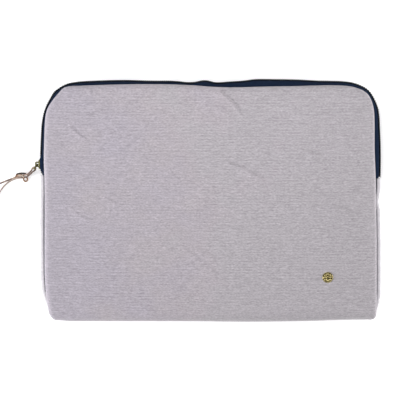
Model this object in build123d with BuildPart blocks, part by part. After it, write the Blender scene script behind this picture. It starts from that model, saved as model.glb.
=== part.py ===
"""Padded canvas laptop sleeve with a coil zipper round its top, in millimetres.

The sleeve lies on its back: X is its width, +Y points to the zipped top edge and +Z comes out of
its front. The origin is the middle of its back face. Each panel is canvas, padding and lining,
and all three fold round the bottom edge. Above the fold line the front panel is the flap that
opens, and one half of the zipper goes with it.
"""

from build123d import *
from math import cos, pi, radians, sin, tan
import os

# Sleeve
width = 340.0  # over the zipper
height = 242.0  # over the zipper and the bottom fold
thickness = 24.0
zip_stand_out = 4.5  # how far the zipper stands outside the panels
canvas = 0.8
padding = 3.5
lining = 0.5
panel_corner = 38.0
bottom_corner = 6.0
left_inset = 6.5  # how far the left side draws in at the bottom fold
right_inset = 1.5  # and the right side
taper_height = 51.0  # the sides draw in over this height
taper_radius = 150.0
edge_roll = 3.8  # radius of the canvas where it rolls over the padding's edge
seam_gap = 0.1  # between a side wall or a tape and the panel that it is sewn to
gusset_bulge = 3.2

# Mouth: where the front panel folds open, and where the zipper stops on each side
fold_line = 44.0
fold_gap = 0.1  # half of the gap between the flap and what stays
zip_end = 24.0

# Zipper chain, measured outwards from the panels' edge (n) and up from the floor (z)
tape = 0.6
tape_inner = 1.0
tape_shoulder = 1.4  # the tape leans outwards over this height, then runs straight
coil_inner = 1.7
coil_half = 4.0
coil_gap = 0.8  # half of the gap between the two coils
coil_round = 0.8
coil_start = 2.0  # the coils start this far above the end of the tapes

# Slider
slider_y = 36.0
slider_length = 9.4
nose_half = 5.8
tail_half = 5.0
wing = 1.2
outer_wing = 4.8  # where the outer wing starts
inner_wing = 0.8  # where the inner wing ends
flange_start = 1.9
channel_half = 4.3
post_half = 0.45
bridge_rise = 3.7
bridge_half_length = 2.8
bridge_half_width = 1.0
bridge_bar = 1.5

# Pull, a wire ring on the slider's bridge
pull_wire = 1.4
pull_length = 5.8
pull_half = 3.2
pull_corner = 1.2
pull_turn = 50.0  # it rests this far below straight out

# Leather lace, doubled through the pull and knotted
lace = 1.6
lace_clear = 0.05
lace_height = 10.8  # where it goes round the pull
knot_at = (-188.2, 23.4, 2.8)
knot_turn = 21.0
knot_half_length = 5.4
knot_half = 2.7

# Round brass stud at the lower right of the front
stud_x, stud_y = 116.7, -76.7
stud_radius = 5.3
stud_rise = 1.7
stud_rim = 0.7
stud_post = 1.25
stud_washer = 4.2
stud_washer_thick = 0.8

panel = canvas + padding + lining
panel_half = width / 2 - zip_stand_out
panel_top = height / 2 - zip_stand_out
bottom = -height / 2
middle = thickness / 2
fold_start = bottom + middle  # the bottom fold is a half round about this line

os.makedirs("parts", exist_ok=True)


def save(piece, name):
    """Labels a finished piece and writes it as a node of its own."""
    piece.part.label = name
    export_step(piece.part, f"parts/{name}.step")


# ---------------------------------------------------------------- panels


def panel_outline(inset):
    """One panel seen from above, drawn in by inset all round."""
    with BuildSketch() as outline:
        with BuildLine():
            Polyline(
                (left_inset - panel_half, bottom),
                (-panel_half, bottom + taper_height),
                (-panel_half, panel_top),
                (panel_half, panel_top),
                (panel_half, bottom + taper_height),
                (panel_half - right_inset, bottom),
                close=True,
            )
        make_face()
        fillet(outline.vertices().group_by(Axis.Y)[2], panel_corner)
        fillet(outline.vertices().group_by(Axis.Y)[1], taper_radius)
        fillet(outline.vertices().group_by(Axis.Y)[0], bottom_corner)
        if inset:
            offset(amount=-inset)
    return outline.sketch


def flat_layer(inset, z_low, z_high, roll, y_low, y_high, front):
    """A flat layer of a panel from y_low to y_high, with its outer edge rolled.

    It is drawn for the back panel, and turned over for the front one.
    """
    outline = panel_outline(inset)
    with BuildPart() as slab:
        with BuildSketch(Plane.XY.offset(z_low)):
            add(outline)
        extrude(amount=z_high - z_low)
        if roll:
            fillet(slab.faces().sort_by(Axis.Z)[0].edges(), roll)
        with Locations((0, (y_low + y_high) / 2, middle)):
            Box(2 * width, y_high - y_low, 4 * thickness, mode=Mode.INTERSECT)
        if front:
            mirror(about=Plane.XY.offset(middle), mode=Mode.REPLACE)
    return slab


def canvas_tray(y_low, y_high, front):
    """The canvas of a flat panel: its face, and the edge that rolls over the padding."""
    outside = flat_layer(0, 0, panel, edge_roll, y_low, y_high, front)
    inside = flat_layer(canvas, canvas, panel, edge_roll - canvas, y_low, y_high, front)
    with BuildPart() as tray:
        add(outside)
        add(inside, mode=Mode.SUBTRACT)
    return tray


def bottom_fold(inset, depth, thick):
    """A layer where it goes round the bottom fold, depth below the outside of the canvas."""
    outline = panel_outline(inset)
    with BuildPart() as fold:
        with BuildSketch(Plane.YZ):
            with Locations((fold_start, middle)):
                Circle(middle - depth)
                Circle(middle - depth - thick, mode=Mode.SUBTRACT)
            with Locations((fold_start, middle)):
                Rectangle(thickness, 2 * thickness, align=(Align.MIN, Align.CENTER), mode=Mode.SUBTRACT)
        extrude(amount=width, both=True)
        with BuildSketch():
            add(outline)
        extrude(amount=thickness, mode=Mode.INTERSECT)
    return fold


stays = (fold_start, fold_line - fold_gap)  # the stretch of the front that stays
opens = (fold_line + fold_gap, height)  # and the stretch that opens
whole = (fold_start, height)

save(canvas_tray(*whole, False), "canvas_back")
save(canvas_tray(*opens, True), "canvas_front_flap")
save(bottom_fold(0, 0, canvas), "canvas_bottom")

pad_range = (canvas, canvas, canvas + padding, edge_roll - canvas)
save(flat_layer(*pad_range, *whole, False), "padding_back")
save(flat_layer(*pad_range, *opens, True), "padding_front_flap")
save(bottom_fold(canvas, canvas, padding), "padding_bottom")

lining_range = (canvas, canvas + padding, panel, 0)
save(flat_layer(*lining_range, *whole, False), "lining_back")
save(flat_layer(*lining_range, *stays, True), "lining_front_lower")
save(flat_layer(*lining_range, *opens, True), "lining_front_flap")
save(bottom_fold(canvas, canvas + padding, lining), "lining_bottom")

plain_front = canvas_tray(*stays, True)
with BuildPart() as canvas_front_lower:
    add(plain_front)
    with Locations((stud_x, stud_y, thickness)):
        Cylinder(stud_post + lace_clear, 4 * canvas, mode=Mode.SUBTRACT)
save(canvas_front_lower, "canvas_front_lower")

plain_padding = flat_layer(*pad_range, *stays, True)
with BuildPart() as padding_front_lower:
    add(plain_padding)
    with Locations((stud_x, stud_y, thickness - canvas)):
        Cylinder(stud_washer + 0.3, 3.2 * stud_washer_thick, mode=Mode.SUBTRACT)
save(padding_front_lower, "padding_front_lower")


# ---------------------------------------------------------------- side walls below the zipper


def across(y):
    """The plane across the left edge at y, with n outwards and z up."""
    return Plane(origin=(-panel_half, y, 0), x_dir=(-1, 0, 0), z_dir=(0, 1, 0))


def side_wall(inset, thick, draws_in, mirrored):
    """The strip that closes a side below the zipper, with the cap that ends it at the fold."""
    bulge = gusset_bulge
    low = panel + seam_gap + inset / 8
    high = thickness - low
    reach = high - middle
    wall_top = zip_end - 2 * fold_gap
    half_at_fold = panel_half - draws_in * (taper_height - middle) / taper_height
    fold_corner = Plane(origin=(-half_at_fold, fold_start, middle), x_dir=(-1, 0, 0), z_dir=(0, 1, 0))
    with BuildPart() as wall:
        with BuildLine() as edge:
            FilletPolyline(
                (-panel_half, wall_top),
                (-panel_half, bottom + taper_height),
                (-half_at_fold, fold_start),
                radius=taper_radius,
            )
        with BuildSketch(across(wall_top)):
            with BuildLine():
                ThreePointArc((-inset, low), (bulge - inset, middle), (-inset, high))
                Line((-inset, high), (-inset - thick, high))
                ThreePointArc((-inset - thick, high), (bulge - inset - thick, middle), (-inset - thick, low))
                Line((-inset - thick, low), (-inset, low))
            make_face()
        sweep(path=edge.wires()[0])
        with BuildSketch(fold_corner):
            with BuildLine():
                outer = ThreePointArc((-inset, reach), (0.74 * bulge - inset, reach / 2), (bulge - inset, 0))
                Line(outer @ 1, outer @ 1 - (thick, 0))
                Line(outer @ 0, outer @ 0 - (thick, 0))
                ThreePointArc(
                    outer @ 0 - (thick, 0),
                    (0.74 * bulge - inset - thick, reach / 2),
                    outer @ 1 - (thick, 0),
                )
            make_face()
        revolve(axis=Axis((0, fold_start, middle), (1, 0, 0)), revolution_arc=180)
        if mirrored:
            mirror(about=Plane.YZ, mode=Mode.REPLACE)
    return wall


for side, draws_in, mirrored in (("left", left_inset, False), ("right", right_inset, True)):
    save(side_wall(0, canvas, draws_in, mirrored), f"gusset_{side}")
    save(side_wall(canvas + 0.15, lining, draws_in, mirrored), f"gusset_lining_{side}")


# ---------------------------------------------------------------- zipper chain


def chain_path(y_start, y_end):
    """The panels' edge from the left end of the zipper, round the top, to its right end."""
    with BuildLine() as path:
        FilletPolyline(
            (-panel_half, y_start),
            (-panel_half, panel_top),
            (panel_half, panel_top),
            (panel_half, y_end),
            radius=panel_corner,
        )
    return path.wires()[0]


def tape_section(y):
    """A tape across the edge: sewn under the panel, leaning out, then straight up to the middle."""
    low = panel + seam_gap
    shoulder = low + tape_shoulder
    with BuildSketch(across(y)) as section:
        with BuildLine():
            Polyline(
                (-canvas, low),
                (tape_inner, shoulder),
                (tape_inner, middle - coil_gap),
                (tape_inner + tape, middle - coil_gap),
                (tape_inner + tape, shoulder - tape / 2),
                (tape - canvas / 2, low),
                close=True,
            )
        make_face()
    return section.sketch


def coil_section(y):
    """A coil across the edge, as the rounded bar that it fills."""
    with BuildSketch(across(y)) as section:
        with BuildLine():
            Polyline(
                (coil_inner, middle - coil_half),
                (zip_stand_out, middle - coil_half),
                (zip_stand_out, middle - coil_gap),
                (coil_inner, middle - coil_gap),
                close=True,
            )
        make_face()
        fillet(section.vertices(), coil_round)
    return section.sketch


def along_mouth(section, y, front):
    """A strip of the zipper from y on the left, round the top, to y on the right."""
    shape = section(y)
    path = chain_path(y, y)
    with BuildPart() as strip:
        sweep(shape, path=path)
        if front:
            mirror(about=Plane.XY.offset(middle), mode=Mode.REPLACE)
    return strip


def along_side(section, y_low, y_high, mirrored):
    """A short strip of the front half of the zipper, below the flap."""
    shape = section(y_low)
    with BuildPart() as strip:
        extrude(shape, amount=y_high - y_low)
        mirror(about=Plane.XY.offset(middle), mode=Mode.REPLACE)
        if mirrored:
            mirror(about=Plane.YZ, mode=Mode.REPLACE)
    return strip


coil_end = zip_end + coil_start
save(along_mouth(tape_section, zip_end, False), "zip_tape_back")
save(along_mouth(coil_section, coil_end, False), "zip_coil_back")
save(along_mouth(tape_section, fold_line + fold_gap, True), "zip_tape_flap")
save(along_mouth(coil_section, fold_line + fold_gap, True), "zip_coil_flap")
for side, mirrored in (("left", False), ("right", True)):
    save(along_side(tape_section, zip_end, fold_line - fold_gap, mirrored), f"zip_tape_end_{side}")
    save(along_side(coil_section, coil_end, fold_line - fold_gap, mirrored), f"zip_coil_end_{side}")


# ---------------------------------------------------------------- slider and pull


def slider_outline(n, inner_half):
    """The slider seen from outside at height n: wide at the nose, narrower at the tail."""
    face_on = Plane(origin=(-panel_half - n, slider_y, middle), x_dir=(0, 1, 0), z_dir=(-1, 0, 0))
    with BuildSketch(face_on) as outline:
        with BuildLine():
            Polyline(
                (-slider_length / 2, -0.6 * nose_half),
                (-slider_length / 6, -nose_half),
                (slider_length / 2, -tail_half),
                (slider_length / 2, tail_half),
                (-slider_length / 6, nose_half),
                (-slider_length / 2, 0.6 * nose_half),
                close=True,
            )
        make_face()
        fillet(outline.vertices(), 1.6)
        if inner_half:
            Rectangle(2 * slider_length, 2 * inner_half, mode=Mode.SUBTRACT)
    return outline.sketch


outer_plate = slider_outline(outer_wing, 0)
flanges = slider_outline(flange_start, channel_half)
inner_plate = slider_outline(inner_wing - wing, 0)
bridge_plane = Plane(
    origin=(-panel_half - outer_wing - wing, slider_y, middle - bridge_half_width),
    x_dir=(-1, 0, 0),
    z_dir=(0, 0, 1),
)
with BuildPart() as slider:
    extrude(outer_plate, amount=wing)
    chamfer(slider.faces().sort_by(Axis.X)[0].edges(), 0.35)
    extrude(flanges, amount=outer_wing - flange_start)
    extrude(inner_plate, amount=wing)
    with Locations((-panel_half - (inner_wing + outer_wing) / 2, slider_y - slider_length / 4, middle)):
        Box(outer_wing - inner_wing + wing, slider_length / 4, 2 * post_half)
    with BuildSketch(bridge_plane) as bridge:
        with Locations((bridge_rise / 2, 0)):
            Rectangle(bridge_rise, 2 * bridge_half_length)
        fillet(bridge.vertices().sort_by(Axis.X)[-2:], 1.4)
        with Locations(((bridge_rise - bridge_bar) / 2, 0)):
            Rectangle(bridge_rise - bridge_bar, 2 * (bridge_half_length - bridge_bar), mode=Mode.SUBTRACT)
    extrude(amount=2 * bridge_half_width)
save(slider, "slider")

axis_n = outer_wing + wing + (bridge_rise - bridge_bar) / 2
pull_axis = Vector(-panel_half - axis_n, slider_y, middle)
outward = Vector(-cos(radians(pull_turn)), -sin(radians(pull_turn)), 0)
sideways = Vector(sin(radians(pull_turn)), -cos(radians(pull_turn)), 0)
with BuildPart() as pull:
    with BuildLine(Plane(origin=pull_axis, x_dir=outward, z_dir=sideways)) as ring:
        FilletPolyline(
            (0, pull_half),
            (pull_length, pull_half),
            (pull_length, -pull_half),
            (0, -pull_half),
            radius=pull_corner,
            close=True,
        )
    ring_path = ring.wires()[0]
    with BuildSketch(Plane(origin=ring_path @ 0, z_dir=ring_path % 0)):
        Circle(pull_wire / 2)
    sweep(path=ring_path)
save(pull, "pull_ring")


# ---------------------------------------------------------------- leather lace

pull_end = pull_axis + outward * pull_length
bend = pull_wire / 2 + lace / 2 + lace_clear
loop_at = Vector(pull_end.X, pull_end.Y, lace_height)

with BuildPart() as loop:
    with BuildSketch(Plane(origin=loop_at + sideways * bend, x_dir=sideways, z_dir=outward)):
        Circle(lace / 2)
    revolve(axis=Axis(loop_at, (0, 0, 1)), revolution_arc=180)
save(loop, "lace_loop")

floor = lace / 2 + lace_clear
upper_start = loop_at - sideways * bend
lower_start = loop_at + sideways * bend
upper_route = [
    upper_start,
    upper_start + outward * 4.4,
    Vector(-183.0, 27.4, 6.8),
    Vector(-185.9, 25.5, 4.1),
    Vector(-190.1, 24.2, 2.8),
    Vector(-195.6, 22.6, floor),
    Vector(-202.8, 19.7, floor),
    Vector(-210.6, 16.9, floor),
    Vector(-219.2, 14.6, floor),
    Vector(-226.4, 10.4, floor),
]
lower_route = [
    lower_start,
    lower_start + outward * 3.9,
    Vector(-181.4, 24.4, 6.3),
    Vector(-184.6, 22.6, 2.9),
    Vector(-189.2, 21.9, 1.9),
    Vector(-194.6, 20.9, floor),
    Vector(-200.4, 18.4, floor),
    Vector(-205.7, 14.9, floor),
    Vector(-209.4, 9.9, floor),
    Vector(-212.4, 4.0, floor),
    Vector(-217.6, -0.7, floor),
]


def strand(route, name):
    """A strand of the lace: straight runs joined by arcs as large as the runs allow."""
    runs = [after - before for before, after in zip(route, route[1:])]
    radii = [
        0.45 * min(one.length, other.length) / tan(radians(one.get_angle(other)) / 2)
        for one, other in zip(runs, runs[1:])
    ]
    with BuildPart() as tube:
        with BuildLine() as path:
            FilletPolyline(*route, radius=radii)
        with BuildSketch(Plane(origin=route[0], z_dir=runs[0])):
            Circle(lace / 2)
        sweep(path=path.wires()[0])
    length = path.wires()[0].length
    share = tube.part.volume / (pi * (lace / 2) ** 2 * length)
    print(name, "length", round(length, 1), "volume share", round(share, 3))
    print("  radii", [round(radius, 1) for radius in radii])
    save(tube, name)


strand(upper_route, "lace_upper")
strand(lower_route, "lace_lower")

along_knot = (-cos(radians(knot_turn)), -sin(radians(knot_turn)), 0)
with BuildPart() as knot:
    with BuildSketch(Plane(origin=knot_at, x_dir=along_knot, z_dir=(0, 0, 1))):
        Ellipse(knot_half_length, knot_half)
        Rectangle(4 * knot_half_length, knot_half, align=(Align.CENTER, Align.MAX), mode=Mode.SUBTRACT)
    revolve(axis=Axis(knot_at, along_knot))
save(knot, "lace_knot")


# ---------------------------------------------------------------- stud

with BuildPart() as stud_cap:
    with BuildSketch(Plane(origin=(stud_x, stud_y, thickness), x_dir=(1, 0, 0), z_dir=(0, -1, 0))) as profile:
        with BuildLine():
            rim = Line((0, 0), (stud_radius, 0))
            wall = Line(rim @ 1, (stud_radius, stud_rim))
            dome = TangentArc((0, stud_rise), wall @ 1, tangent=(1, 0))
            Line(dome @ 0, rim @ 0)
        make_face()
    revolve(axis=Axis((stud_x, stud_y, thickness), (0, 0, 1)))
    post_length = canvas + stud_washer_thick + lace_clear
    with Locations((stud_x, stud_y, thickness - post_length / 2)):
        Cylinder(stud_post, post_length)
save(stud_cap, "stud_cap")

with BuildPart() as stud_back:
    with Locations((stud_x, stud_y, thickness - canvas - lace_clear - stud_washer_thick / 2)):
        Cylinder(stud_washer, stud_washer_thick)
        Cylinder(stud_post, stud_washer_thick, mode=Mode.SUBTRACT)
save(stud_back, "stud_washer")
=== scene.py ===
"""Looks of a padded canvas laptop sleeve with a zipper, a lace pull and a brass stud.

Lengths are in millimetres here, in the CAD's frame, and become metres where a mesh is made.
"""

import bisect
import math

import bmesh
import bpy
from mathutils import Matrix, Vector, geometry, kdtree, noise


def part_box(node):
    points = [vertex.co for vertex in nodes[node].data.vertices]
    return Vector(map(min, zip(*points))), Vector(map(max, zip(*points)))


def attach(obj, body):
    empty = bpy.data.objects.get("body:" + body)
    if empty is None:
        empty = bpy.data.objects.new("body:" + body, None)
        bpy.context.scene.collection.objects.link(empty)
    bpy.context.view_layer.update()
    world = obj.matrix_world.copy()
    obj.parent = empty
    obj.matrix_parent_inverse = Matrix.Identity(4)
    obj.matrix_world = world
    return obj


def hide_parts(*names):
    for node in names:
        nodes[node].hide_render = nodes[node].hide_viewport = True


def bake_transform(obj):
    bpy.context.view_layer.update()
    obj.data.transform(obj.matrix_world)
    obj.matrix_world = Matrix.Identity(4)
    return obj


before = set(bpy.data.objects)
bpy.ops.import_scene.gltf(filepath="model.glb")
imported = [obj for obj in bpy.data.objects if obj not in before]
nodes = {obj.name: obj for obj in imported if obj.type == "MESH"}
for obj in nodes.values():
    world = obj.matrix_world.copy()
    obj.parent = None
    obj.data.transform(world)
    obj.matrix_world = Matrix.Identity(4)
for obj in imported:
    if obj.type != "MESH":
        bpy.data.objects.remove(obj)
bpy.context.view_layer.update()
MM = 0.001


def box_mm(node):
    low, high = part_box(node)
    return low / MM, high / MM


# ---------------------------------------------------------------- sizes, from the frame where it has them

back_high = box_mm("canvas_back")[1]
half_width = back_high.x  # of the panels
top = back_high.y
panel = back_high.z  # thickness of one panel: canvas, padding and lining
thickness = box_mm("canvas_front_flap")[1].z  # of the whole sleeve
bottom = box_mm("canvas_bottom")[0].y
middle = thickness / 2
fold_y = bottom + middle  # the axis of the bottom fold
fold_end = fold_y - math.pi * middle  # where the front's canvas has gone right round it
zip_end = box_mm("zip_tape_back")[0].y
zip_out = box_mm("zip_coil_back")[1].x - half_width  # how far the zipper stands out in the CAD
canvas = 0.8  # thickness of each layer
padding = 3.5
lining = 0.5

# ---------------------------------------------------------------- small helpers


def smooth(low, high, value):
    """0 below low, 1 above high, and an even rise between."""
    share = min(max((value - low) / (high - low), 0), 1)
    return share * share * (3 - 2 * share)


def mesh_object(name, points, faces):
    """A mesh of points in millimetres, smooth, with its faces turned outwards."""
    mesh = bpy.data.meshes.new(name)
    mesh.from_pydata([Vector(p) * MM for p in points], [], faces)
    mesh.update()
    work = bmesh.new()
    work.from_mesh(mesh)
    bmesh.ops.remove_doubles(work, verts=work.verts, dist=0.005 * MM)
    bmesh.ops.recalc_face_normals(work, faces=work.faces)
    work.to_mesh(mesh)
    work.free()
    mesh.shade_smooth()
    piece = bpy.data.objects.new(name, mesh)
    bpy.context.scene.collection.objects.link(piece)
    return piece


def apply_modifiers(piece):
    """Puts the result of the piece's modifiers into its mesh."""
    bpy.context.view_layer.update()
    evaluated = piece.evaluated_get(bpy.context.evaluated_depsgraph_get())
    mesh = bpy.data.meshes.new_from_object(evaluated)
    piece.modifiers.clear()
    piece.data = mesh
    mesh.name = piece.name


def thicken(piece, amount):
    """Makes a sheet a closed shell, the amount thick behind its faces."""
    solid = piece.modifiers.new("thickness", "SOLIDIFY")
    solid.thickness = amount * MM
    solid.offset = -1
    apply_modifiers(piece)
    piece.data.shade_smooth()


def loft(name, rows, closed_rows=False, caps=False):
    """A surface through rows of points.

    closed_rows joins each row's ends, and caps closes the first and the last row.
    """
    count = len(rows[0])
    points = [p for row in rows for p in row]
    faces = []
    span = count if closed_rows else count - 1
    for i in range(len(rows) - 1):
        for j in range(span):
            k = (j + 1) % count
            faces.append((i * count + j, i * count + k, (i + 1) * count + k, (i + 1) * count + j))
    if caps:
        faces.append(tuple(range(count)))
        faces.append(tuple(range(len(points) - count, len(points))))
    return mesh_object(name, points, faces)


def finish_piece(piece, material):
    piece.data.materials.clear()
    piece.data.materials.append(material)
    return piece


# ---------------------------------------------------------------- materials


def grey(value):
    return (value, value, value)


class Nodes:
    """A short way to write a material's node tree."""

    def __init__(self, name):
        self.material = bpy.data.materials.new(name)
        self.material.use_nodes = True
        self.tree = self.material.node_tree
        self.shader = self.tree.nodes["Principled BSDF"]

    def node(self, kind, inputs=(), **settings):
        """Adds a node. Its inputs are other nodes' outputs or constants, and settings its properties."""
        made = self.tree.nodes.new(kind)
        for key, value in settings.items():
            setattr(made, key, value)
        for key, value in dict(inputs).items():
            if isinstance(value, bpy.types.NodeSocket):
                self.tree.links.new(value, made.inputs[key])
            else:
                made.inputs[key].default_value = value
        return made

    def place(self, scale):
        """The point on the object, in metres, scaled along each axis."""
        where = self.node("ShaderNodeTexCoord").outputs["Object"]
        return self.node("ShaderNodeMapping", {"Vector": where, "Scale": scale}).outputs["Vector"]

    def noise(self, scale, detail, roughness=0.5):
        """Noise with features about 1 / scale metres long along each axis."""
        inputs = {"Vector": self.place(scale), "Scale": 1.0, "Detail": detail, "Roughness": roughness}
        return self.node("ShaderNodeTexNoise", inputs).outputs["Fac"]

    def bands(self, scale, direction, distortion):
        """Even bands. Along Y, diagonal ones are 0.63 / scale metres apart."""
        inputs = {"Vector": self.place(scale), "Scale": 1.0, "Distortion": distortion}
        return self.node("ShaderNodeTexWave", inputs, bands_direction=direction).outputs["Fac"]

    def along(self, axis):
        """The object's own coordinate along an axis, in metres."""
        where = self.node("ShaderNodeTexCoord").outputs["Object"]
        return self.node("ShaderNodeSeparateXYZ", {"Vector": where}).outputs[axis]

    def ramp(self, value, *stops):
        """The colour at a value between stops of (position, colour)."""
        made = self.node("ShaderNodeValToRGB", {"Fac": value})
        elements = made.color_ramp.elements
        while len(elements) < len(stops):
            elements.new(0.5)
        for element, (position, colour) in zip(elements, stops):
            element.position = position
            element.color = (*colour, 1)
        return made.outputs["Color"]

    def vary(self, value, amount):
        """A factor for a colour that goes this much below and above 1 with a noise value."""
        return self.ramp(value, (0.34, grey(1 - amount)), (0.66, grey(1 + amount)))

    def mix(self, share, one, other, blend="MIX"):
        """One colour with this share of the other mixed in, or blended in another way."""
        made = self.node("ShaderNodeMix", data_type="RGBA", blend_type=blend)
        for socket, value in ((made.inputs[0], share), (made.inputs[6], one), (made.inputs[7], other)):
            if isinstance(value, bpy.types.NodeSocket):
                self.tree.links.new(value, socket)
            else:
                socket.default_value = value
        return made.outputs[2]

    def math(self, operation, one, other):
        inputs = {0: one, 1: other}
        return self.node("ShaderNodeMath", inputs, operation=operation).outputs[0]

    def bump(self, height, distance, strength):
        inputs = {"Height": height, "Distance": distance, "Strength": strength}
        return self.node("ShaderNodeBump", inputs).outputs["Normal"]

    def finish(self, colour, normal, roughness, **sockets):
        """Sets the surface's sockets, each to a node's output or a constant, and gives the material."""
        for key, value in (("Base Color", colour), ("Normal", normal), ("Roughness", roughness)):
            if isinstance(value, bpy.types.NodeSocket):
                self.tree.links.new(value, self.shader.inputs[key])
            elif value is not None:
                self.shader.inputs[key].default_value = value
        for key, value in sockets.items():
            self.shader.inputs[key.replace("_", " ")].default_value = value
        return self.material


def canvas_material():
    """Washed cotton canvas: uneven weft threads, rows of them in places, flecks, faded patches and a
    painted highlight along its right edge.
    """
    n = Nodes("canvas")
    rows = n.bands((0, 213, 213), "DIAGONAL", 0.8)
    rows_here = n.noise((70, 210, 210), 1.0)
    dash = n.noise((430, 1500, 1500), 1.0)
    slub = n.noise((120, 800, 800), 1.0)
    fleck = n.noise((620, 1100, 1100), 1.0)
    patch = n.noise((22, 26, 26), 3.0)
    tint = n.ramp(
        n.math("ADD", n.math("MULTIPLY", n.along("X"), 2.6), patch),
        (0.1, (0.395, 0.364, 0.414)),
        (0.45, (0.408, 0.372, 0.404)),
        (0.6, (0.403, 0.376, 0.405)),
        (0.9, (0.398, 0.372, 0.398)),
    )
    furrows = n.mix(
        n.ramp(rows_here, (0.4, grey(0.0)), (0.56, grey(1.0))),
        (1, 1, 1, 1),
        n.ramp(rows, (0.0, grey(0.93)), (1.0, grey(1.07))),
    )
    # Painted highlight: a lighter strip along the right rolled edge, standing in for the light that falls
    # on it
    painted_rim_highlight = n.ramp(
        n.math("MULTIPLY", n.along("X"), 6.0),  # 0.99 at the right edge
        (0.93, grey(1.0)),
        (0.97, grey(1.035)),
        (0.985, grey(1.14)),
    )
    colour = tint
    for layer in (n.vary(dash, 0.135), n.vary(slub, 0.07), n.vary(fleck, 0.08), furrows, painted_rim_highlight):
        colour = n.mix(1.0, colour, layer, "MULTIPLY")
    height = n.math("ADD", n.math("MULTIPLY", rows, 0.4), dash)
    return n.finish(colour, n.bump(height, 0.00025, 0.6), 0.92, Sheen_Weight=0.3, Sheen_Roughness=0.4)


def gusset_material():
    """The same canvas where it is turned on edge, made a little paler to paint the brighter light that
    falls on the side walls.
    """
    n = Nodes("lit_gusset_canvas")
    slub = n.noise((300, 500, 120), 3.0)
    fleck = n.noise((1300, 1300, 1300), 2.0)
    colour = n.mix(
        1.0,
        n.ramp(slub, (0.3, (0.46, 0.44, 0.47)), (0.7, (0.54, 0.52, 0.55))),
        n.ramp(fleck, (0.3, grey(0.92)), (0.7, grey(1.04))),
        "MULTIPLY",
    )
    return n.finish(colour, n.bump(fleck, 0.0002, 0.6), 0.9, Sheen_Weight=0.1)


def lining_material():
    """Dark blue cloth in a fine plain weave."""
    n = Nodes("lining")
    warp = n.bands((2200, 0, 0), "X", 0.3)
    weft = n.bands((0, 2200, 2200), "DIAGONAL", 0.3)
    weave = n.math("ADD", warp, weft)
    cloud = n.noise((25, 25, 25), 3.0)
    colour = n.ramp(cloud, (0.3, (0.028, 0.034, 0.052)), (0.7, (0.042, 0.05, 0.072)))
    return n.finish(colour, n.bump(weave, 0.00012, 0.5), 0.6, Sheen_Weight=0.2)


def padding_material():
    """Dark grey foam with its cells."""
    n = Nodes("padding")
    cells = n.noise((900, 900, 900), 4.0)
    colour = n.ramp(cells, (0.3, (0.06, 0.06, 0.065)), (0.7, (0.11, 0.11, 0.115)))
    return n.finish(colour, n.bump(cells, 0.0003, 0.5), 0.95)


def tape_material():
    """Navy zipper tape with the fine ribs of its weave."""
    n = Nodes("zip_tape")
    ribs = n.bands((900, 900, 900), "DIAGONAL", 0.4)
    fibre = n.noise((700, 700, 700), 3.0)
    colour = n.mix(
        1.0,
        n.ramp(fibre, (0.3, (0.006, 0.013, 0.032)), (0.7, (0.011, 0.022, 0.05))),
        n.ramp(ribs, (0.0, grey(0.75)), (1.0, grey(1.2))),
        "MULTIPLY",
    )
    return n.finish(colour, n.bump(ribs, 0.0002, 0.6), 0.85, Specular_IOR_Level=0.08)


def coil_material():
    """The coil's nearly black filament."""
    n = Nodes("zip_coil")
    fibre = n.noise((500, 500, 500), 2.0)
    colour = n.ramp(fibre, (0.3, (0.004, 0.006, 0.01)), (0.7, (0.008, 0.011, 0.018)))
    return n.finish(colour, n.bump(fibre, 0.0001, 0.3), 0.6, Specular_IOR_Level=0.1)


def brass_material(name, hollow, face, edge):
    """Antique brass in three colours: its hollows, its faces and the edges where it is rubbed bright."""
    n = Nodes(name)
    tarnish = n.noise((420, 420, 420), 5.0, roughness=0.65)
    worn = n.node("ShaderNodeNewGeometry").outputs["Pointiness"]
    raised = n.math("MULTIPLY", n.math("SUBTRACT", worn, 0.5), 5.0)
    amount = n.math("ADD", tarnish, raised)
    colour = n.ramp(amount, (0.3, hollow), (0.48, face), (0.7, edge))
    rough = n.math("ADD", n.math("MULTIPLY", tarnish, 0.3), 0.25)
    return n.finish(colour, n.bump(tarnish, 0.00005, 0.4), rough, Metallic=1.0)


def leather_material(name, dark, tan, pale, shade=None):
    """A dry leather lace in patches of three shades, with grain.

    shade holds an axis, where along it the patches end and the other colour begins, and that colour.
    """
    n = Nodes(name)
    patch = n.noise((190, 190, 190), 3.0)
    inputs = {"Vector": n.place((2600, 2600, 2600)), "Scale": 1.0}
    grain = n.node("ShaderNodeTexVoronoi", inputs).outputs["Distance"]
    fibre = n.noise((1500, 600, 1500), 3.0)
    colour = n.mix(
        1.0,
        n.ramp(patch, (0.4, dark), (0.5, tan), (0.6, pale)),
        n.ramp(fibre, (0.3, (0.8, 0.78, 0.76)), (0.7, grey(1.1))),
        "MULTIPLY",
    )
    if shade:
        axis, start, end, other = shade
        share = n.math("DIVIDE", n.math("SUBTRACT", n.along(axis), start * MM), (end - start) * MM)
        colour = n.mix(n.ramp(share, (0.0, grey(0.0)), (1.0, grey(1.0))), colour, (*other, 1))
    height = n.math("ADD", n.math("MULTIPLY", grain, 0.5), fibre)
    return n.finish(colour, n.bump(height, 0.0001, 0.6), 0.68)


def floor_material():
    """A white studio floor."""
    n = Nodes("floor")
    soft = n.noise((3, 3, 3), 2.0)
    colour = n.ramp(soft, (0.0, grey(0.89)), (1.0, grey(0.9)))
    return n.finish(colour, None, 0.95, Emission_Color=(1, 1, 1, 1), Emission_Strength=0.42)


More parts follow.
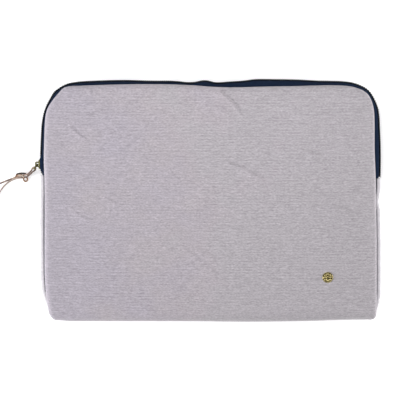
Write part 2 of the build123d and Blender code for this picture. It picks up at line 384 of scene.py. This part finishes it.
CANVAS = canvas_material()
# The side walls' canvas is paler than the front's: painted light
LIT_GUSSET = gusset_material()
LINING = lining_material()
PADDING = padding_material()
TAPE = tape_material()
COIL = coil_material()
STUD_BRASS = brass_material("stud_brass", (0.07, 0.055, 0.025), (0.22, 0.18, 0.07), (0.5, 0.42, 0.2))
# Painted shade: the same antique brass made much darker for the slider, the pull's ring and the stud's
# washer, for the shade they lie in
SHADED_BRASS = brass_material("shaded_brass", (0.006, 0.006, 0.003), (0.028, 0.026, 0.01), (0.2, 0.185, 0.07))
LACE = leather_material("lace", (0.16, 0.105, 0.085), (0.3, 0.21, 0.17), (0.44, 0.35, 0.3))
DARK_LACE = leather_material(
    "dark_lace", (0.4, 0.32, 0.28), (0.46, 0.38, 0.34), (0.52, 0.44, 0.4),
    shade=("X", -191.0, -188.0, (0.12, 0.075, 0.055)),
)
# The knot's lace turns nearly black towards its top pass: partly the lace's dark flesh side, partly painted
# shade of the recess between its loops
KNOT_LACE_SHADED = leather_material(
    "knot_lace_shaded", (0.14, 0.07, 0.04), (0.34, 0.2, 0.125), (0.5, 0.4, 0.32),
    shade=("Y", 25.5, 26.3, (0.03, 0.018, 0.014)),
)

# ---------------------------------------------------------------- camera, light and floor

view_centre = (-10.3, 0.3)
view_width = 400.0
lens = 200.0
sensor = 36.0
floor_size = 8.0  # metres
sky_strength = 0.14
# Each lamp's name, place in metres, size in metres and power in watts. All aim at the frame's origin
lamps = (
    ("left", (-1.5, -0.35, 0.6), 0.8, 26.5),
    ("right", (1.6, 0.05, 0.5), 0.9, 21),
    ("above", (0.0, 0.3, 0.6), 0.45, 2.15),
    ("low_left", (-1.3, -2.4, 1.2), 1.2, 17),
)


def add_camera():
    """Looks straight down, from where the view's width fills the frame at the sleeve's middle."""
    camera_data = bpy.data.cameras.new("camera")
    camera_data.lens = lens
    camera_data.sensor_width = sensor
    camera_data.clip_end = 20
    camera = bpy.data.objects.new("camera", camera_data)
    camera.location = Vector((*view_centre, middle + view_width * lens / sensor)) * MM
    bpy.context.scene.collection.objects.link(camera)
    bpy.context.scene.camera = camera


def add_lamp(name, place, size, power):
    light = bpy.data.lights.new(name, "AREA")
    light.shape = "DISK"
    light.size = size
    light.energy = power
    lamp = bpy.data.objects.new(name, light)
    lamp.location = place
    lamp.rotation_mode = "QUATERNION"
    lamp.rotation_quaternion = (-Vector(place)).to_track_quat("-Z", "Y")
    bpy.context.scene.collection.objects.link(lamp)


def set_stage():
    add_camera()
    bpy.ops.mesh.primitive_plane_add(size=floor_size)
    floor = bpy.context.object
    floor.name = "floor"
    floor.data.materials.append(floor_material())
    for lamp in lamps:
        add_lamp(*lamp)

    world = bpy.data.worlds.new("studio")
    world.use_nodes = True
    sky = world.node_tree.nodes["Background"]
    sky.inputs["Color"].default_value = (1, 1, 1, 1)
    sky.inputs["Strength"].default_value = sky_strength
    bpy.context.scene.world = world
    bpy.context.scene.view_settings.view_transform = "Standard"


set_stage()

# ---------------------------------------------------------------- lace

lace = 1.6  # across
floor_line = lace / 2 + 0.05  # height of the lace's middle where it lies on the floor
pull_turn = math.radians(50)  # the pull rests this far below straight out
outward = Vector((-math.cos(pull_turn), -math.sin(pull_turn), 0))
sideways = Vector((math.sin(pull_turn), -math.cos(pull_turn), 0))
loop_at = Vector((-176.328, 31.557, 10.8))  # the middle of the lace's turn round the pull
loop_radius = 1.55
upper_start = loop_at - sideways * loop_radius
lower_start = loop_at + sideways * loop_radius
meeting = loop_at + outward * 2.9  # where the two halves come to lie side by side
half_apart = 0.82  # half the distance between them there
# The two halves leave the pull, run through the knot and lie apart on the floor
upper_route = [
    upper_start,
    upper_start + outward * 1.3,
    meeting - sideways * half_apart,
    Vector((-183.2, 25.9, 6.9)),
    Vector((-186.6, 25.6, 4.1)),
    Vector((-190.9, 24.4, 2.8)),
    Vector((-196.4, 22.8, floor_line)),
    Vector((-203.7, 20.1, floor_line)),
    Vector((-211.3, 17.0, floor_line)),
    Vector((-219.2, 14.6, floor_line)),
    Vector((-226.4, 10.4, floor_line)),
]
lower_route = [
    lower_start,
    lower_start + outward * 1.2,
    meeting + sideways * half_apart,
    Vector((-182.0, 24.7, 6.3)),
    Vector((-185.4, 23.0, 2.9)),
    Vector((-190.2, 22.6, 1.9)),
    Vector((-195.8, 21.9, floor_line)),
    Vector((-201.5, 19.3, floor_line)),
    Vector((-206.1, 15.8, floor_line)),
    Vector((-209.9, 11.4, floor_line)),
    Vector((-213.0, 5.6, floor_line)),
    Vector((-217.6, -0.7, floor_line)),
]
# The knot: over the strands, back below them, a curl to the front, over again and out along the tail
knot_route = [
    Vector((-182.6, 25.2, 4.2)),
    Vector((-185.4, 27.0, 4.2)),
    Vector((-189.3, 27.2, 3.6)),
    Vector((-193.4, 26.9, 2.6)),
    Vector((-195.4, 25.1, 1.8)),
    Vector((-193.0, 23.3, 1.0)),
    Vector((-188.8, 22.9, 0.9)),
    Vector((-185.2, 23.5, 1.0)),
    Vector((-183.4, 21.9, 1.1)),
    Vector((-183.9, 19.3, 0.9)),
    Vector((-186.2, 18.9, 0.9)),
    Vector((-187.7, 20.8, 1.6)),
    Vector((-186.8, 23.6, 3.9)),
    Vector((-188.6, 25.7, 5.1)),
    Vector((-191.8, 25.4, 4.3)),
    Vector((-194.6, 24.1, 2.6)),
    Vector((-197.4, 22.4, 1.6)),
]


def strand(name, route, material):
    """A round lace along a route."""
    curve = bpy.data.curves.new(name, "CURVE")
    curve.dimensions = "3D"
    curve.resolution_u = 8
    curve.bevel_depth = lace / 2 * MM
    curve.bevel_resolution = 4
    curve.use_fill_caps = True
    spline = curve.splines.new("NURBS")
    spline.points.add(len(route) - 1)
    for point, place in zip(spline.points, route):
        point.co = (*(place * MM), 1)
    spline.order_u = 3
    spline.use_endpoint_u = True
    piece = bpy.data.objects.new(name, curve)
    bpy.context.scene.collection.objects.link(piece)
    return finish_piece(piece, material)


upper = strand("lace_upper_strand", upper_route, LACE)
lower = strand("lace_lower_strand", lower_route, DARK_LACE)
knot = strand("lace_knot_tied", knot_route, KNOT_LACE_SHADED)
for piece, node in ((upper, "lace_upper"), (lower, "lace_lower"), (knot, "lace_knot")):
    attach(piece, "pull")
    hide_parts(node)

# ---------------------------------------------------------------- the panels' edge

# Points that the panels' edge passes through, from the left side over the top to the right side: X, Y
# and how far the zipper stands out there. The zipper and the padding pull the top out of its line.
outline = (
    (-165.2, -62, 4.3), (-165.2, 15, 4.3), (-165.9, 40, 4.5), (-165.5, 62, 4.3), (-164.8, 78, 3.9),
    (-162.9, 89.5, 3.3), (-157.6, 99, 4.1), (-152.0, 105.8, 5.2), (-146.4, 111.7, 3.5), (-140, 113.6, 4.1),
    (-128, 114.2, 5.1), (-110, 114.85, 5.25), (-85, 115.5, 5.2), (-60, 115.65, 4.3), (-36, 115.4, 4.4),
    (-24, 114.8, 3.8), (-16, 114.5, 4.3), (-9, 113.9, 6.4), (-3, 113.4, 6.8), (5, 112.9, 5.5),
    (18, 112.55, 6.5), (34, 112.7, 7.4), (46, 113.1, 8.5), (66, 113.5, 8.0), (88, 113.8, 7.3),
    (108, 114.45, 5.6), (128, 114.45, 5.2), (140, 113.4, 5.1), (148.8, 110.9, 4.7), (155.6, 107.0, 4.4),
    (160.4, 99.8, 4.3), (163.0, 89.5, 5.6), (163.6, 75, 6.2), (163.7, 50, 7.0), (164.4, 32, 6.3),
    (164.9, 15, 5.6), (165.0, 0, 5.6), (165.8, -38, 5.6), (165.8, -62, 5.6),
)
side_x = 160  # the outline's points further out than this and below side_top belong to its sides
side_top = 45
inset_top = -62  # below this the sides draw in towards the bottom fold
inset_run = 59  # over this height
left_inset = 6.2  # to this much at the lower end
right_inset = 0.4


def curve_through(points, step):
    """Points about a step apart on a smooth curve through the given ones."""
    points = [Vector(p) for p in points]
    last = len(points) - 1
    chords = [(after - before).length for before, after in zip(points, points[1:])]
    made = []
    for i in range(last):
        before, here = points[max(i - 1, 0)], points[i]
        there, after = points[i + 1], points[min(i + 2, last)]
        chord = chords[i]
        leave = (there - before) * (chord / (chord + (chords[i - 1] if i else 0)))
        arrive = (after - here) * (chord / (chord + (chords[i + 1] if i < last - 1 else 0)))
        count = max(1, round(chord / step))
        for k in range(count):
            u = k / count
            made.append(
                here * (2 * u**3 - 3 * u**2 + 1)
                + leave * (u**3 - 2 * u**2 + u)
                + there * (3 * u**2 - 2 * u**3)
                + arrive * (u**3 - u**2)
            )
    made.append(points[-1])
    return made


def side_inset(y, left):
    """How far a side draws in towards the bottom fold."""
    share = min(max((inset_top - y) / inset_run, 0), 1)
    return left_inset * share**2.2 if left else right_inset * share**4


def side_edge(y, left):
    """How far from the middle the panels' edge is at y, below the zipper."""
    sign = -1 if left else 1
    side = sorted((m[1], m[0] * sign) for m in outline if m[0] * sign > side_x and m[1] < side_top)
    y_here = min(max(y, side[0][0]), side[-1][0])
    for (y_low, x_low), (y_high, x_high) in zip(side, side[1:]):
        if y_low <= y_here <= y_high:
            return x_low + (x_high - x_low) * (y_here - y_low) / (y_high - y_low) - side_inset(y, left)


class Edge:
    """The panels' edge from low on the left, round the top, to low on the right."""

    def __init__(self, low, step):
        """low is the height of both ends, and the points are about a step apart."""
        kept = [i for i, mark in enumerate(outline) if mark[1] > low + 2]
        before = outline[max(kept[0] - 1, 0)]
        after = outline[min(kept[-1] + 1, len(outline) - 1)]
        marks = [
            (before[0], low, before[2]),
            *outline[kept[0] : kept[-1] + 1],
            (after[0], low, after[2]),
        ]
        line = curve_through(marks, step)
        self.out = [p.z for p in line]
        self.points = []
        for p in line:
            inset = side_inset(p.y, True) if p.x < 0 else -side_inset(p.y, False)
            self.points.append(Vector((p.x + inset, p.y)))
        self.lengths = [0.0]
        for before, after in zip(self.points, self.points[1:]):
            self.lengths.append(self.lengths[-1] + (after - before).length)
        self.length = self.lengths[-1]
        self.normals = []
        last = len(self.points) - 1
        for i in range(last + 1):
            along = self.points[min(i + 1, last)] - self.points[max(i - 1, 0)]
            self.normals.append(Vector((-along.y, along.x)).normalized())

    def at(self, length):
        """The point, the direction outwards and the zipper's stand-out this far along the edge."""
        i = min(max(bisect.bisect(self.lengths, length) - 1, 0), len(self.points) - 2)
        share = (length - self.lengths[i]) / (self.lengths[i + 1] - self.lengths[i])
        point = self.points[i].lerp(self.points[i + 1], share)
        normal = self.normals[i].lerp(self.normals[i + 1], share).normalized()
        return point, normal, self.out[i] + (self.out[i + 1] - self.out[i]) * share


# ---------------------------------------------------------------- canvas sheets

roll = 3.8  # how deep the canvas rolls over the padding's edge
roll_in = 5.5  # how far in from the edge the roll reaches
roll_steps = 7

# Creases in the front: from, to, height and half width
creases = (
    ((7.0, 113.0), (30.0, 86.0), 1.17, 1.2),
    ((16.0, 38.0), (34.0, 31.0), 1.33, 1.3),
    ((34.0, 31.0), (52.0, 20.0), 1.01, 1.3),
    ((91.0, 50.5), (111.0, 44.0), 1.01, 1.3),
    ((106.0, -5.5), (133.0, -9.0), 1.09, 1.4),
    ((133.0, -9.0), (141.0, -20.0), 0.78, 1.4),
    ((-41.0, 31.0), (-29.0, 18.0), 0.51, 1.3),
    ((-139.0, 74.0), (-124.0, 59.0), 0.78, 1.3),
    ((-104.0, 2.0), (-90.0, -4.0), 0.62, 1.3),
    ((20.0, -27.0), (33.0, -30.0), 0.62, 1.3),
    ((-136.0, -11.0), (-120.0, -20.0), 0.62, 1.3),
    ((132.0, -52.0), (147.0, -38.0), 0.70, 1.6),
    ((140.0, -88.0), (158.0, -78.0), 0.70, 1.8),
    ((128.0, -100.0), (157.0, -96.0), 0.70, 2.0),
    ((-122.0, 115.0), (-118.0, 107.0), 1.25, 1.3),
    ((-110.0, 115.0), (-107.5, 109.0), 0.70, 1.3),
    ((-93.5, 115.0), (-90.5, 110.0), 0.70, 1.3),
)


crease_run = 5  # a crease fades from this far within each end to this far beyond it
crease_wander = 0.9
# How high the canvas rises over the padding, in swells, in ripples and in puckers at the top and the sides
crown_rise = 0.9
swell_rise = 0.55
ripple_rise = 0.16
top_pucker = 0.42
side_pucker = 0.22
back_ripple = 0.2
pucker_reach = 18  # in from the edge
bow_hang = 0.5  # how far the bottom line hangs, a little right of its middle
bow_right_rise = 1.6  # how far it rises at its two ends
bow_left_rise = 1.2
corner_round = 4.0  # how far the bottom corners are drawn in where the fold reaches furthest down


def crease_height(x, y):
    """How far the creases take the canvas in or out at a point of the front."""
    height = 0.0
    for start, end, rise, width in creases:
        dx, dy = end[0] - start[0], end[1] - start[1]
        long = math.hypot(dx, dy)
        along = ((x - start[0]) * dx + (y - start[1]) * dy) / long
        across = ((y - start[1]) * dx - (x - start[0]) * dy) / long
        if not (-crease_run < along < long + crease_run and abs(across) < 5 * width):
            continue
        across += crease_wander * math.sin(along / 5.0)
        fade = smooth(-crease_run, crease_run, along) * smooth(-crease_run, crease_run, long - along)
        flank = width * (0.85 if across > 0 else 1.5)  # one side is steeper
        ridge = math.exp(-((across / flank) ** 2))
        valley = 0.3 * math.exp(-(((across - 1.7 * width) / width) ** 2))
        height += rise * fade * (ridge - valley)
    return height


def fold_bow(x, t):
    """How far the bottom line hangs in the middle and rises at its ends.

    t is the distance along the sheet: y where it is flat, and further down round the fold.
    """
    turn = min(max((fold_y - t) / middle, 0), math.pi)
    hang = bow_hang * math.exp(-(((x - 35) / 40) ** 2))
    bow = hang - bow_right_rise * smooth(80, 150, x) - bow_left_rise * smooth(-135, -160, x)
    return bow * math.sin(turn) ** 2


def front_height(x, t, inside):
    """How far the front's canvas stands out of its flat place. inside is the distance from the edge."""
    flat_share = smooth(fold_y - 8, fold_y + 14, t)
    crown = crown_rise * smooth(0, 60, inside) * flat_share
    swell = noise.noise(Vector((x / 55, t / 42, 3.1))) * swell_rise * smooth(0, 25, inside)
    ripple = noise.noise(Vector((x / 17 + t / 60, t / 12, 8.7))) * ripple_rise
    near_edge = smooth(pucker_reach, 0, inside)
    pucker = noise.noise(Vector((x / 3.2, t / 9.0, 1.7))) * top_pucker * near_edge * smooth(40, 100, t)
    side = noise.noise(Vector((x / 14.0, t / 5.0, 5.7))) * side_pucker * near_edge
    height = crown + (swell + ripple) * (0.35 + 0.65 * flat_share)  # calmer round the fold
    return height + pucker + side + crease_height(x, t) + fold_bow(x, t)


def back_height(x, t, inside):
    """The back lies flat on the floor, and only its edge lifts a little."""
    return noise.noise(Vector((x / 20, t / 20, 4.4))) * back_ripple * smooth(12, 0, inside)


def corner_pull(turn):
    """How far the two bottom corners are drawn in where the front has turned this far."""
    return corner_round * math.sin(turn) ** 10


def front_place(x, t, depth):
    """A point of the front's canvas in space: flat, or going round the bottom fold."""
    if t >= fold_y:
        return Vector((x, t, thickness - depth))
    turn = (fold_y - t) / middle
    reach = middle - depth
    x -= math.copysign(corner_pull(turn) * smooth(half_width - 16, half_width - 4, abs(x)), x)
    return Vector((x, fold_y - reach * math.sin(turn), middle + reach * math.cos(turn)))


def back_place(x, t, depth):
    """A point of the back's canvas in space."""
    return Vector((x, t, depth))


def sheet(name, low, rings, inner_depth, step, place, height):
    """A panel's layer: rings from its edge inwards, each at a depth, then an even grid of points.

    low is the end of the sheet at or past the bottom fold. rings holds (distance inside the edge, depth)
    pairs. place puts a point in space, and height says how far it stands out of its depth.
    """
    edge = Edge(low, step)
    count = len(edge.points)
    flat = []
    for inside, depth in rings:
        for point, normal in zip(edge.points, edge.normals):
            flat.append((point.x - normal.x * inside, max(point.y - normal.y * inside, low), depth, inside))
    faces = []
    for k in range(len(rings) - 1):
        for i in range(count - 1):
            a, b = k * count + i, (k + 1) * count + i
            faces.append((a, b, b + 1, a + 1))

    tree = kdtree.KDTree(count)
    for i, point in enumerate(edge.points):
        tree.insert((point.x, point.y, 0), i)
    tree.balance()
    last_inside = rings[-1][0]
    loop = [(p[0], p[1]) for p in flat[-count:]]
    inner = []
    columns = round(2 * half_width / step)
    levels = round((top - low) / step)
    for r in range(levels):
        y = low + (top - low) * r / levels
        for c in range(1, columns):
            x = -half_width + 2 * half_width * c / columns
            index, distance = tree.find((x, y, 0))[1:]
            outside = (Vector((x, y)) - edge.points[index]).dot(edge.normals[index]) > 0
            if outside or distance < last_inside + 0.6 * step:
                continue
            inner.append((x, y, distance))
    points_2d = [Vector(p) for p in loop] + [Vector(p[:2]) for p in inner]
    border = [(i, i + 1) for i in range(count - 1)] + [(count - 1, 0)]
    # Triangles within the border only. Of what this gives, item 0 holds the points, 2 the triangles and
    # 3 which of the points handed in each of them comes from.
    made = geometry.delaunay_2d_cdt(points_2d, border, [], 1, 1e-5)
    first = len(flat) - count
    index_of = []
    for position, origins in zip(made[0], made[3]):
        if origins and origins[0] < count:
            index_of.append(first + origins[0])
        else:
            inside = inner[origins[0] - count][2] if origins else last_inside
            index_of.append(len(flat))
            flat.append((position.x, position.y, inner_depth, inside))
    faces += [tuple(index_of[v] for v in face) for face in made[2]]
    points = [
        place(x, t, depth - height(x, t, inside) * smooth(0, roll_in, inside))
        for x, t, depth, inside in flat
    ]
    return mesh_object(name, points, faces)


def rolled_rings(reach):
    """From the inner lip of the rolled edge, up its wall, over the roll and onto the face."""
    rings = [(0.0, reach), (0.0, (reach + roll) / 2)]
    for k in range(roll_steps + 1):
        a = math.pi / 2 * k / roll_steps
        rings.append((roll_in * (1 - math.cos(a)), roll * (1 - math.sin(a))))
    rings += [(roll_in + 1.4, 0.0), (roll_in + 3.0, 0.0), (roll_in + 4.8, 0.0)]
    return rings


def flat_rings(inset, depth):
    """Four rings at one depth, from the inset inwards."""
    return [(inset, depth), (inset + 2.0, depth), (inset + 5.0, depth), (inset + 9.0, depth)]


fine = 1.1  # distance between the points of the front's canvas
coarse = 3.0  # and of the other sheets
padding_inset = 2.2  # from the panels' edge to the padding
padding_gap = 0.25  # between the padding and the cloth on either side


def inner_height(x, t, inside):
    """Padding and lining follow only the bottom line's bow."""
    return fold_bow(x, t)


def point_outwards(piece, sign):
    """Turns a sheet's faces so that its middle faces up where sign is 1, and down where it is -1."""
    centre = min(piece.data.polygons, key=lambda f: f.center.xy.length)
    if centre.normal.z * sign < 0:
        piece.data.flip_normals()


def make_layer(name, rings, depth, front_step, heights, thick, material):
    """One layer of both panels: its front, which goes round the bottom fold, and its rear."""
    front = sheet(f"{name}_front", fold_end, rings, depth, front_step, front_place, heights[0])
    back = sheet(f"{name}_rear", fold_y, rings, depth, coarse, back_place, heights[1])
    for piece, facing in ((front, 1), (back, -1)):
        point_outwards(piece, facing)
        thicken(piece, thick)
        finish_piece(piece, material)
    return front, back


def make_panels():
    rings = rolled_rings(panel)
    front, back = make_layer("canvas", rings, 0.0, fine, (front_height, back_height), canvas, CANVAS)
    inner = (inner_height, inner_height)
    depth = canvas + padding_gap
    rings = flat_rings(padding_inset, depth)
    thick = padding - 2 * padding_gap
    pad_front, pad_back = make_layer("padding", rings, depth, coarse, inner, thick, PADDING)
    depth = canvas + padding
    rings = flat_rings(canvas, depth)
    line_front, line_back = make_layer("lining", rings, depth, coarse, inner, lining, LINING)

    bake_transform(front)
    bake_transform(pad_front)
    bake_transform(line_front)
    for piece in (back, pad_back, line_back):
        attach(piece, "sleeve")
    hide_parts("canvas_front_lower", "canvas_front_flap", "canvas_bottom")
    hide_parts("canvas_back")
    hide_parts("padding_front_lower", "padding_front_flap", "padding_bottom")
    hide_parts("padding_back")
    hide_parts("lining_front_lower", "lining_front_flap", "lining_bottom")
    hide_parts("lining_back")


make_panels()

# ---------------------------------------------------------------- zipper

pitch = 2.1
wire = 0.56  # radius of the coil's filament
right_drop = 1.9  # the zipper's right end lies this much lower than its left end
zip_edge = Edge(zip_end, 1.5)
zip_length = zip_edge.length + right_drop
tape_step = 1.2
# The tape's section as (distance out from the edge, height): it comes from under the panel, bulges and
# turns down to the coil. Beside the slider it lies out over the slider's side.
tape_section = (
    (-2.2, 4.88), (0.3, 5.0), (1.5, 6.0), (2.1, 7.6), (2.2, 9.5), (2.2, 11.9),
    (1.1, 11.9), (1.1, 9.5), (1.1, 7.6), (0.7, 6.4), (-0.2, 5.6), (-2.2, 5.3),
)
tape_at_slider = (
    (-2.2, 4.88), (2.3, 5.15), (3.9, 5.55), (4.4, 6.1), (3.1, 7.4), (2.0, 11.9),
    (1.1, 11.9), (2.5, 7.4), (3.6, 6.3), (3.2, 6.05), (1.2, 5.65), (-2.2, 5.3),
)
# Lengths along the zipper where the tape starts to lie out for the slider, is right out, starts to come
# back and is back
slider_place = (3, 8, 17, 23)
tape_flush = 1.8  # a point this far out or further stands out in full, as the outline says
out_of_seam = 5.5  # along the zipper, where its left end has come right out of the seam
tape_wave = 0.35
coil_start = 2.7  # along the zipper, where the coil comes out of the seam
coil_spare = 0.8  # left free behind its other end
coil_inner = 1.75  # how far out of the panels' edge the coil's turns begin
coil_height = 10.22  # of its middle, from the outer face of its own panel
coil_half_height = 1.72
rear_set_back = 0.5  # the rear coil's heads reach this much less far out
squareness = 0.8  # 1 would wind the filament round, and less flattens its sides
tube_sides = 6


def on_zip(length, n, z):
    """A point of the zipper, out by n from the panels' edge, at the height z.

    The zipper stands out as the outline says, and its left end draws in to the seam.
    """
    point, normal, out = zip_edge.at(length)
    n += (out - zip_out) * min(max(n / tape_flush, 0), 1)
    n *= 0.5 + 0.5 * smooth(-1.0, out_of_seam, length)
    return Vector((point.x + normal.x * n, point.y + normal.y * n, z))


def make_tape(name, front):
    """One tape, its section bulging and turning down to the coil."""
    count = round(zip_length / tape_step)
    spread, widest, closing, closed = slider_place
    rows = []
    for i in range(count + 1):
        length = zip_length * i / count
        over = smooth(spread, widest, length) * smooth(closed, closing, length)
        wave = tape_wave * noise.noise(Vector((length / 9, 3.3 if front else 7.1, 0.2)))
        row = []
        for (n, z), (wide_n, wide_z) in zip(tape_section, tape_at_slider):
            n += (wide_n - n) * over + wave * (0.3 < n < 1.7)
            z += (wide_z - z) * over
            row.append(on_zip(length, n, thickness - z if front else z))
        rows.append(row)
    return finish_piece(loft(name, rows, closed_rows=True, caps=True), TAPE)


def squared(value):
    """A sine or cosine that makes a turn with flatter sides."""
    return math.copysign(abs(value) ** squareness, value)


def make_coil(name, front):
    """One coil: a filament wound along the tape, its turns half a pitch from the other coil's."""
    centre_n = (coil_inner + zip_out) / 2
    reach = zip_out - wire - centre_n
    if not front:
        reach -= rear_set_back
    steps = 12
    run = zip_length - coil_start - pitch / 2 - coil_spare
    turns = round(run / pitch)
    path = []
    hearts = []
    for i in range(turns * steps + 1):
        a = 2 * math.pi * i / steps
        length = coil_start + run * i / (turns * steps) + (pitch / 2 if front else 0)
        n = centre_n + reach * squared(math.cos(a))
        z = coil_height + coil_half_height * squared(math.sin(a))
        path.append(on_zip(length, n, thickness - z if front else z))
        hearts.append(on_zip(length, centre_n, thickness - coil_height if front else coil_height))
    tubes = []
    for i, (here, heart) in enumerate(zip(path, hearts)):
        along = (path[min(i + 1, len(path) - 1)] - path[max(i - 1, 0)]).normalized()
        side = here - heart
        side = (side - along * side.dot(along)).normalized()
        other = along.cross(side)
        turns_round = (2 * math.pi * k / tube_sides for k in range(tube_sides))
        tubes.append([here + (side * math.cos(b) + other * math.sin(b)) * wire for b in turns_round])
    return finish_piece(loft(name, tubes, closed_rows=True, caps=True), COIL)


def make_zipper():
    tape_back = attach(make_tape("tape_rear", False), "sleeve")
    tape_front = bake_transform(make_tape("tape_front", True))
    coil_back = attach(make_coil("coil_rear", False), "sleeve")
    coil_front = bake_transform(make_coil("coil_front", True))
    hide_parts("zip_tape_back")
    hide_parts("zip_tape_flap", "zip_tape_end_left", "zip_tape_end_right")
    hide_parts("zip_coil_back")
    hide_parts("zip_coil_flap", "zip_coil_end_left", "zip_coil_end_right")


make_zipper()

# ---------------------------------------------------------------- side gussets

# Half of a side wall's section as (distance out, height): a sunk seam, a lip and the padded middle
gusset_section = (
    (-0.7, 19.1), (-0.3, 17.8), (0.2, 16.5), (0.65, 16.1),
    (1.2, 16.4), (2.1, 15.9), (3.2, 14.2), (3.7, 12.0),
)
lining_inset = 1.5  # from the gusset's canvas to its lining
left_start = zip_end + 1.6  # the gussets' upper ends, just inside the zipper's
right_start = zip_end + 0.3 - right_drop
wall_rows = 70  # from the zipper's end down to the fold
fold_rows = 8  # round the fold
corner_rows = 4  # of the lining, which close the corner behind the zipper's end
corner_tuck = 0.9  # its lips lie this far inside the panels' edge there
corner_reach = 2.4  # and its middle this much further out than they do
wall_wave = 0.3


def gusset_bulge(y, left):
    """How far a side wall stands out at y, as a share: in full at the zipper and none near the bottom.

    The left one is fullest round y -30. The right one is fuller near the zipper and has a dent at y -1.
    """
    if left:
        return (1.18 + 0.14 * smooth(45, 15, abs(y + 30))) * smooth(-113, -88, y)
    return (1.15 + 0.25 * smooth(2, 16, y) - 0.35 * smooth(10, 0, abs(y + 1))) * smooth(-118, -92, y)


def make_gusset(name, left, inset, material, thick):
    """A side wall, or its lining where there is an inset, from the zipper's end to round the fold."""
    sign = -1 if left else 1
    half = curve_through([(n, z, 0) for n, z in gusset_section], 0.6)
    section = [(p.x, p.y) for p in half] + [(p.x, 2 * middle - p.y) for p in reversed(half[:-1])]
    last = len(section) - 1
    face, other_face = section[0][1], section[-1][1]
    rows = []
    start = left_start if left else right_start
    behind = corner_rows if inset else 0
    for i in range(-behind, wall_rows + 1):
        y = start + (fold_y - start) * i / wall_rows
        x_edge = side_edge(y, left) - inset
        share = gusset_bulge(y, left)
        wave = wall_wave * noise.noise(Vector((y / 7, 2.2 if left else 6.6, 0.5)))
        corner_share = max(-i, 0) / max(behind, 1)
        row = []
        for k, (n, z) in enumerate(section):
            plain = face + (other_face - face) * k / last
            out = (n + (wave if n > 2 else 0)) * share
            lip = min(face - plain, plain - other_face)
            corner_out = inset - corner_tuck + corner_reach * smooth(0, 1.6, lip)
            out += (corner_out - out) * corner_share
            z = plain + (z - plain) * share * (1 - corner_share)
            row.append(Vector((sign * (x_edge + out), y, z)))
        rows.append(row)
    for i in range(1, fold_rows + 1):
        turn = math.pi / 2 * i / fold_rows
        row = []
        for k in range(last + 1):
            reach = (face - middle) * (1 - 2 * k / last)
            y = fold_y - abs(reach) * math.sin(turn)
            x_edge = side_edge(y, left) - inset - corner_pull(turn)
            row.append(Vector((sign * x_edge, y, middle + reach * math.cos(turn))))
        rows.append(row)
    piece = loft(name, rows)
    side = min(piece.data.polygons, key=lambda f: abs(f.center.y) + abs(f.center.z - middle * MM))
    if side.normal.x * sign < 0:
        piece.data.flip_normals()
    thicken(piece, thick)
    return finish_piece(piece, material)


for left in (True, False):
    side = "left" if left else "right"
    wall = make_gusset(f"side_wall_{side}", left, 0.0, LIT_GUSSET, canvas)
    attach(wall, "sleeve")
    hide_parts(f"gusset_{side}")
    inner = make_gusset(f"side_lining_{side}", left, lining_inset, LINING, lining)
    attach(inner, "sleeve")
    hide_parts(f"gusset_lining_{side}")

# ---------------------------------------------------------------- brass

# The stud's face, in shares of its radius
stud_rings = (
    0.0, 0.07, 0.14, 0.21, 0.27, 0.32, 0.36, 0.4, 0.45, 0.5, 0.56, 0.62, 0.68, 0.73, 0.78, 0.82, 0.86,
)
stud_dome = 0.34
bead_ring = 0.6
bead_size = 0.24
# Its rim as (share of the radius, height), from the face to the underside
stud_rim = ((0.9, 0.95), (0.95, 0.95), (0.99, 0.75), (1.0, 0.45), (1.0, 0.0), (0.0, 0.0))
stud_plate = 0.75  # height of the face between the beads
dome_rise = 0.75
bead_rise = 0.8
beads = 8
stud_sunk = 0.2  # the rim sinks this far into the cloth
stud_sides = 96


def make_stud():
    """A plain round stud: a ring of eight beads round a small dome, on a flat rim."""
    low, high = box_mm("stud_cap")
    x, y = (low.x + high.x) / 2, (low.y + high.y) / 2
    radius = (high.x - low.x) / 2
    base = thickness + front_height(x, y, 50) - stud_sunk
    half_bead = math.pi / beads
    rows = []
    for i in range(stud_sides):
        a = 2 * math.pi * i / stud_sides
        row = []
        for share in stud_rings:
            dome = dome_rise * math.sqrt(max(0, 1 - (share / stud_dome) ** 2))
            across = (share - bead_ring) / bead_size
            along = math.remainder(a, 2 * half_bead) / half_bead * (share / bead_ring)
            bead = bead_rise * math.sqrt(max(0, 1 - across**2 - along**2))
            row.append((share, stud_plate + max(dome, bead)))
        row += stud_rim
        rows.append([
            Vector((x + radius * share * math.cos(a), y + radius * share * math.sin(a), base + rise))
            for share, rise in row
        ])
    rows.append(rows[0])
    return finish_piece(loft("stud_dome", rows), STUD_BRASS)


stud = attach(make_stud(), "sleeve")
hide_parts("stud_cap")
# These take the brass darkened to paint their shade
for name in ("slider", "pull_ring", "stud_washer"):
    finish_piece(nodes[name], SHADED_BRASS)
finish_piece(nodes["lace_loop"], LACE)
